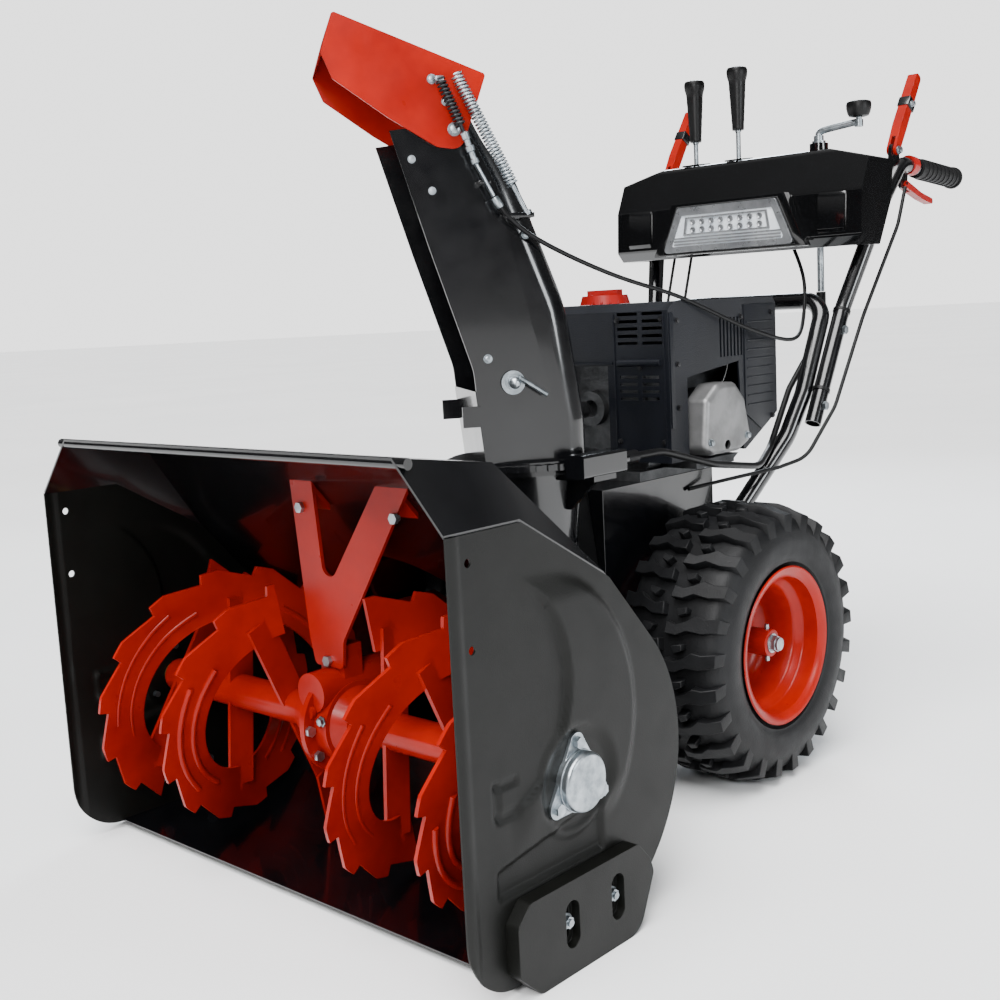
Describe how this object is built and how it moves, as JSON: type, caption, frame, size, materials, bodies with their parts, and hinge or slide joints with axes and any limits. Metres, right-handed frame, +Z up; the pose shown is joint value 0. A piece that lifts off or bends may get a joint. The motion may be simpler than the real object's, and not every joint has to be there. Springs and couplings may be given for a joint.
{
  "type": "two stage snowblower",
  "caption": "Walk-behind two stage snowblower: serrated augers feed an impeller that throws snow through a turning chute with a tilting deflector.",
  "frame": {"origin": "on the ground, under the middle of the machine's bounding box", "axes": "+Z up, -Y the way the augers face, +X the machine's left as its operator stands behind it"},
  "size_m": [0.79, 1.4674, 1.094],
  "materials": {
    "gloss_black": "gloss black powder coat",
    "satin_black": "satin black powder coat",
    "red_paint": "orange-red powder coat",
    "zinc": "bright zinc plate",
    "dark_steel": "bare oiled steel",
    "bronze": "cast bronze",
    "cast_aluminium": "as cast",
    "engine_plastic": "grained blue-grey moulding",
    "heat_guard": "silver heat paint",
    "red_plastic": "moulded red",
    "black_plastic": "moulded black",
    "dash_plastic": "gloss moulded black",
    "silver_plastic": "silver painted bezel",
    "lens": "clear moulded lens",
    "grip_rubber": "soft ribbed grip",
    "cable_black": "black cable sheath",
    "belt_rubber": "moulded belt",
    "tyre_rubber": "moulded tread"
  },
  "bodies": {
    "frame": {"auger_housing": "gloss_black", "side_plate_left": "satin_black", "side_plate_right": "satin_black", "scraper_blade": "satin_black", "impeller_drum": "gloss_black", "skid_shoes": "satin_black", "skid_bolts": "zinc", "bearing_covers": "zinc", "gearcase": "red_paint", "hex_bolts": "zinc", "gearcase_brace": "red_paint", "chassis": "gloss_black", "belt_cover": "black_plastic", "transmission": "cast_aluminium", "bearings": "bronze", "engine_block": "cast_aluminium", "engine_cover": "engine_plastic", "recoil_housing": "black_plastic", "muffler": "dark_steel", "muffler_guard": "heat_guard", "lower_handle": "gloss_black", "upper_handles": "gloss_black", "grips": "grip_rubber", "dash_panel": "dash_plastic", "headlight_housing": "silver_plastic", "headlight_lens": "lens", "chute_drive_housing": "gloss_black", "chute_flex_shaft": "cable_black", "control_cables": "cable_black", "deflector_cable": "cable_black", "drive_belt": "belt_rubber"},
    "auger": {"auger_left": "red_paint", "auger_right": "red_paint", "auger_shaft": "dark_steel", "worm_wheel": "bronze"},
    "impeller": {"impeller": "red_paint", "impeller_shaft": "dark_steel", "impeller_pulley": "dark_steel"},
    "engine_crank": {"engine_pulley": "dark_steel"},
    "wheel_left": {"tyre_left": "tyre_rubber", "wheel_rim_left": "red_paint", "half_axle_left": "zinc"},
    "wheel_right": {"tyre_right": "tyre_rubber", "wheel_rim_right": "red_paint", "half_axle_right": "zinc"},
    "chute": {"chute": "gloss_black", "chute_ring_gear": "gloss_black", "chute_pins": "zinc", "deflector_springs": "zinc"},
    "deflector": {"deflector": "red_paint"},
    "crank": {"chute_crank": "zinc"},
    "worm": {"chute_worm": "dark_steel"},
    "speed_lever": {"speed_lever": "black_plastic"},
    "deflector_lever": {"deflector_lever": "black_plastic"},
    "clutch_lever_left": {"clutch_lever_left": "red_paint"},
    "clutch_lever_right": {"clutch_lever_right": "red_paint"},
    "steering_trigger_left": {"steering_trigger_left": "red_plastic"},
    "steering_trigger_right": {"steering_trigger_right": "red_plastic"},
    "fuel_cap": {"fuel_cap": "red_plastic"},
    "recoil_handle": {"recoil_handle": "black_plastic"}
  },
  "joints": [
    {"name": "auger_spin", "type": "hinge", "parent": "frame", "child": "auger", "pos_m": [0, -0.557, 0.2], "axis": [1, 0, 0], "continuous": true},
    {"name": "impeller_spin", "type": "hinge", "parent": "frame", "child": "impeller", "pos_m": [0, -0.274, 0.245], "axis": [0, 1, 0], "continuous": true},
    {"name": "engine_crank_spin", "type": "hinge", "parent": "frame", "child": "engine_crank", "pos_m": [0, -0.163, 0.545], "axis": [0, 1, 0], "continuous": true},
    {"name": "wheel_left_spin", "type": "hinge", "parent": "frame", "child": "wheel_left", "pos_m": [0.215, 0.026, 0.203], "axis": [1, 0, 0], "continuous": true},
    {"name": "wheel_right_spin", "type": "hinge", "parent": "frame", "child": "wheel_right", "pos_m": [-0.215, 0.026, 0.203], "axis": [1, 0, 0], "continuous": true},
    {"name": "chute_turn", "type": "hinge", "parent": "frame", "child": "chute", "pos_m": [0.096, -0.296, 0.501], "axis": [0, 0, 1], "range_deg": [-64, 136], "deforming": ["deflector_cable"]},
    {"name": "deflector_tilt", "type": "hinge", "parent": "chute", "child": "deflector", "pos_m": [0.04427, -0.36719, 0.917], "axis": [0.809, -0.5878, 0], "range_deg": [0, 60]},
    {"name": "worm_spin", "type": "hinge", "parent": "frame", "child": "worm", "pos_m": [0.2126, -0.294, 0.5013], "axis": [0, 1, 0], "continuous": true},
    {"name": "crank_turn", "type": "hinge", "parent": "frame", "child": "crank", "pos_m": [0.138, 0.422, 0.9], "axis": [0, 0, 1], "continuous": true},
    {"name": "speed_select", "type": "hinge", "parent": "frame", "child": "speed_lever", "pos_m": [-0.108, 0.428, 0.858], "axis": [1, 0, 0], "range_deg": [-14, 14]},
    {"name": "deflector_lever_tilt", "type": "hinge", "parent": "frame", "child": "deflector_lever", "pos_m": [-0.02, 0.428, 0.858], "axis": [1, 0, 0], "range_deg": [0, 12]},
    {"name": "clutch_squeeze_left", "type": "hinge", "parent": "frame", "child": "clutch_lever_left", "pos_m": [0.226, 0.511, 0.929], "axis": [-1, 0, 0], "range_deg": [0, 52], "stiffness_Nm_per_rad": 1.5, "springref_deg": -14.32},
    {"name": "clutch_squeeze_right", "type": "hinge", "parent": "frame", "child": "clutch_lever_right", "pos_m": [-0.226, 0.511, 0.929], "axis": [-1, 0, 0], "range_deg": [0, 52], "stiffness_Nm_per_rad": 1.5, "springref_deg": -14.32},
    {"name": "steering_squeeze_left", "type": "hinge", "parent": "frame", "child": "steering_trigger_left", "pos_m": [0.23, 0.537, 0.876], "axis": [1, 0, 0], "range_deg": [0, 10], "stiffness_Nm_per_rad": 0.8, "springref_deg": -11.46},
    {"name": "steering_squeeze_right", "type": "hinge", "parent": "frame", "child": "steering_trigger_right", "pos_m": [-0.23, 0.537, 0.876], "axis": [1, 0, 0], "range_deg": [0, 10], "stiffness_Nm_per_rad": 0.8, "springref_deg": -11.46},
    {"name": "fuel_cap_turn", "type": "hinge", "parent": "frame", "child": "fuel_cap", "pos_m": [-0.06, 0.086, 0.71], "axis": [0, 0, 1], "range_deg": [0, 90]},
    {"name": "recoil_pull", "type": "slide", "parent": "frame", "child": "recoil_handle", "axis": [0, 1, 0], "range_m": [0, 0.45], "stiffness_N_per_m": 8, "springref_m": -0.1}
  ],
  "couplings": [
    {"joint": "impeller_spin", "follows": "auger_spin", "ratio": 11},
    {"joint": "engine_crank_spin", "follows": "auger_spin", "ratio": 25.54},
    {"joint": "worm_spin", "follows": "chute_turn", "ratio": -11},
    {"joint": "crank_turn", "follows": "chute_turn", "ratio": 11},
    {"joint": "deflector_lever_tilt", "follows": "deflector_tilt", "ratio": 0.2}
  ]
}
